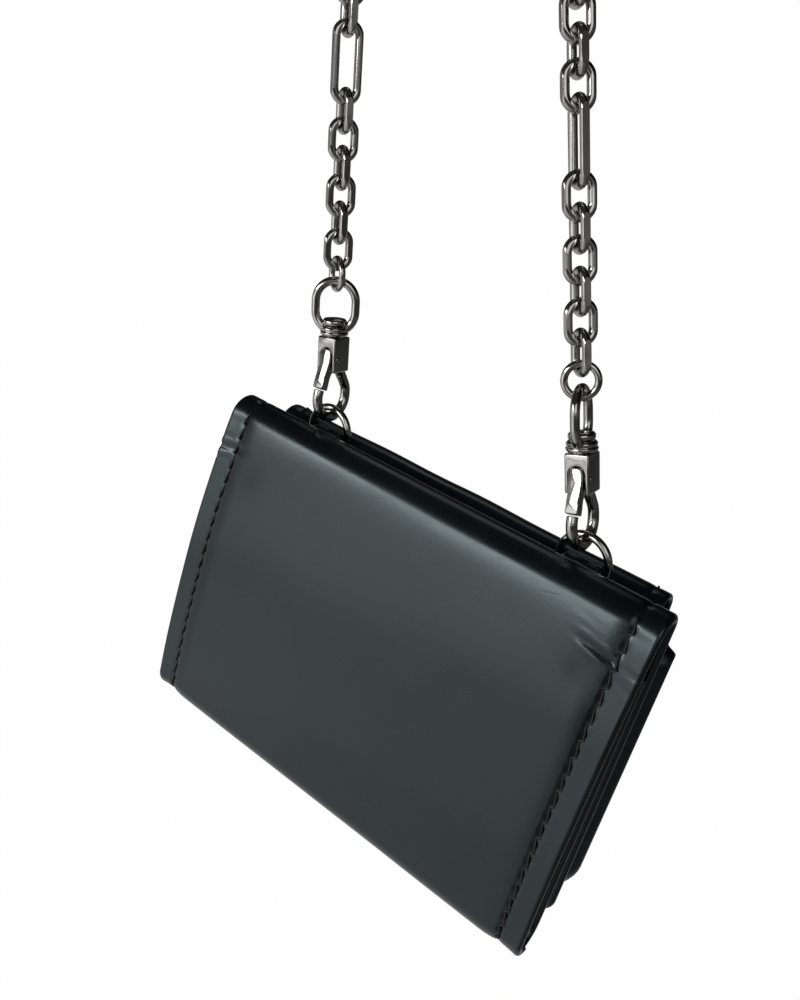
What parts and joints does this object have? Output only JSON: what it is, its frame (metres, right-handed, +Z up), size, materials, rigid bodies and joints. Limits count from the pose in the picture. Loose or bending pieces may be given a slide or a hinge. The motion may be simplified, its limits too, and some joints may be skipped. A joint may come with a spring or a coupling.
{
  "type": "chain wallet",
  "caption": "Small folding leather wallet with a back coin pouch, hung from two swivel snap hooks on a metal chain strap.",
  "frame": {"origin": "the point inside the top of the strap's arch that carries the weight when the wallet hangs", "axes": "+Z up, +X along the wallet's width as seen from above, +Y from the front leaf to the back pouch"},
  "size_m": [0.1284, 0.0357, 0.226],
  "materials": {
    "hide": "smooth black leather with a cool satin sheen",
    "lining": "thin matt lining leather",
    "nickel": "polished nickel plate",
    "stud_steel": "plain plated steel"
  },
  "bodies": {
    "strap": {"strap_top": "nickel"},
    "strands": {"link_left_1": "nickel", "link_left_2": "nickel", "link_left_3": "nickel", "link_left_4": "nickel", "link_left_5": "nickel", "link_left_6": "nickel", "link_left_7": "nickel", "link_left_8": "nickel", "link_right_1": "nickel", "link_right_2": "nickel", "link_right_3": "nickel", "link_right_4": "nickel", "link_right_5": "nickel", "link_right_6": "nickel", "link_right_7": "nickel", "link_right_8": "nickel", "link_right_9": "nickel", "link_right_10": "nickel", "jump_ring_left": "nickel", "jump_ring_right": "nickel"},
    "eyes": {"eye_left": "nickel", "eye_right": "nickel"},
    "left_hook": {"hook_left": "nickel", "gate_pin_left": "stud_steel", "gate_spring_left": "stud_steel", "rivet_left": "nickel"},
    "right_hook": {"hook_right": "nickel", "gate_pin_right": "stud_steel", "gate_spring_right": "stud_steel", "rivet_right": "nickel"},
    "left_gate": {"gate_left": "nickel"},
    "right_gate": {"gate_right": "nickel"},
    "rings": {"ring_left": "nickel", "ring_right": "nickel"},
    "wallet": {"back_wall": "hide", "back_lining": "lining", "note_pocket": "hide", "top_fold": "hide", "ring_tab_left": "hide", "ring_tab_right": "hide", "pouch_front": "hide", "pouch_gusset": "hide", "pouch_back": "hide", "flap_fold": "hide", "snap_stud": "stud_steel", "snap_post": "stud_steel"},
    "leaf": {"front_leaf": "hide", "leaf_lining": "lining", "leaf_pocket": "hide", "bottom_fold": "hide"},
    "inner": {"inner_leaf": "hide", "inner_lining": "lining", "card_slots": "hide"},
    "flap": {"coin_flap": "hide", "snap_cap": "stud_steel", "snap_socket": "stud_steel"}
  },
  "joints": [
    {"name": "strap_swing", "type": "hinge", "parent": "strap", "child": "strands", "pos_m": [-0.02486, 0, -0.03167], "axis": [0.9932, 0, -0.1168], "range_deg": [-20, 20]},
    {"name": "eye_swing", "type": "hinge", "parent": "strands", "child": "eyes", "pos_m": [-0.0295, 0, -0.0881], "axis": [0.9625, 0, -0.2713], "range_deg": [-20, 20]},
    {"name": "left_swivel", "type": "hinge", "parent": "eyes", "child": "left_hook", "pos_m": [-0.03107, 0, -0.10719], "axis": [0.0819, 0, 0.9966], "range_deg": [-35, 35]},
    {"name": "right_swivel", "type": "hinge", "parent": "eyes", "child": "right_hook", "pos_m": [0.03247, 0, -0.12422], "axis": [-0.0819, 0, 0.9966], "range_deg": [-35, 35]},
    {"name": "left_gate_turn", "type": "hinge", "parent": "left_hook", "child": "left_gate", "pos_m": [-0.03082, -0.0013, -0.10421], "axis": [0.9966, 0, -0.0819], "range_deg": [0, 28], "stiffness_Nm_per_rad": 0.002, "springref_deg": -11.46, "deforming": ["gate_spring_left"]},
    {"name": "right_gate_turn", "type": "hinge", "parent": "right_hook", "child": "right_gate", "pos_m": [0.03222, -0.0013, -0.12123], "axis": [0.9966, 0, 0.0819], "range_deg": [0, 28], "stiffness_Nm_per_rad": 0.002, "springref_deg": -11.46, "deforming": ["gate_spring_right"]},
    {"name": "ring_swing", "type": "hinge", "parent": "eyes", "child": "rings", "pos_m": [-0.03178, 0, -0.11582], "axis": [0.9673, 0, -0.2535], "range_deg": [-20, 20]},
    {"name": "wallet_swing", "type": "hinge", "parent": "rings", "child": "wallet", "pos_m": [0.00029, 0, -0.13126], "axis": [0.9681, 0, -0.2504], "range_deg": [-20, 20]},
    {"name": "leaf_open", "type": "hinge", "parent": "wallet", "child": "leaf", "pos_m": [0.00019, -0.00548, -0.13165], "axis": [-0.9681, 0, 0.2504], "range_deg": [0, 130], "deforming": ["top_fold"]},
    {"name": "inner_open", "type": "hinge", "parent": "leaf", "child": "inner", "pos_m": [-0.01761, -0.02007, -0.20047], "axis": [-0.9681, 0, 0.2504], "range_deg": [0, 19.5], "deforming": ["bottom_fold"]},
    {"name": "flap_open", "type": "hinge", "parent": "wallet", "child": "flap", "pos_m": [-0.00067, 0.006, -0.13494], "axis": [0.9681, 0, -0.2504], "range_deg": [0, 110], "deforming": ["flap_fold"]}
  ],
  "couplings": [
    {"joint": "inner_open", "follows": "leaf_open", "ratio": 0.15}
  ]
}
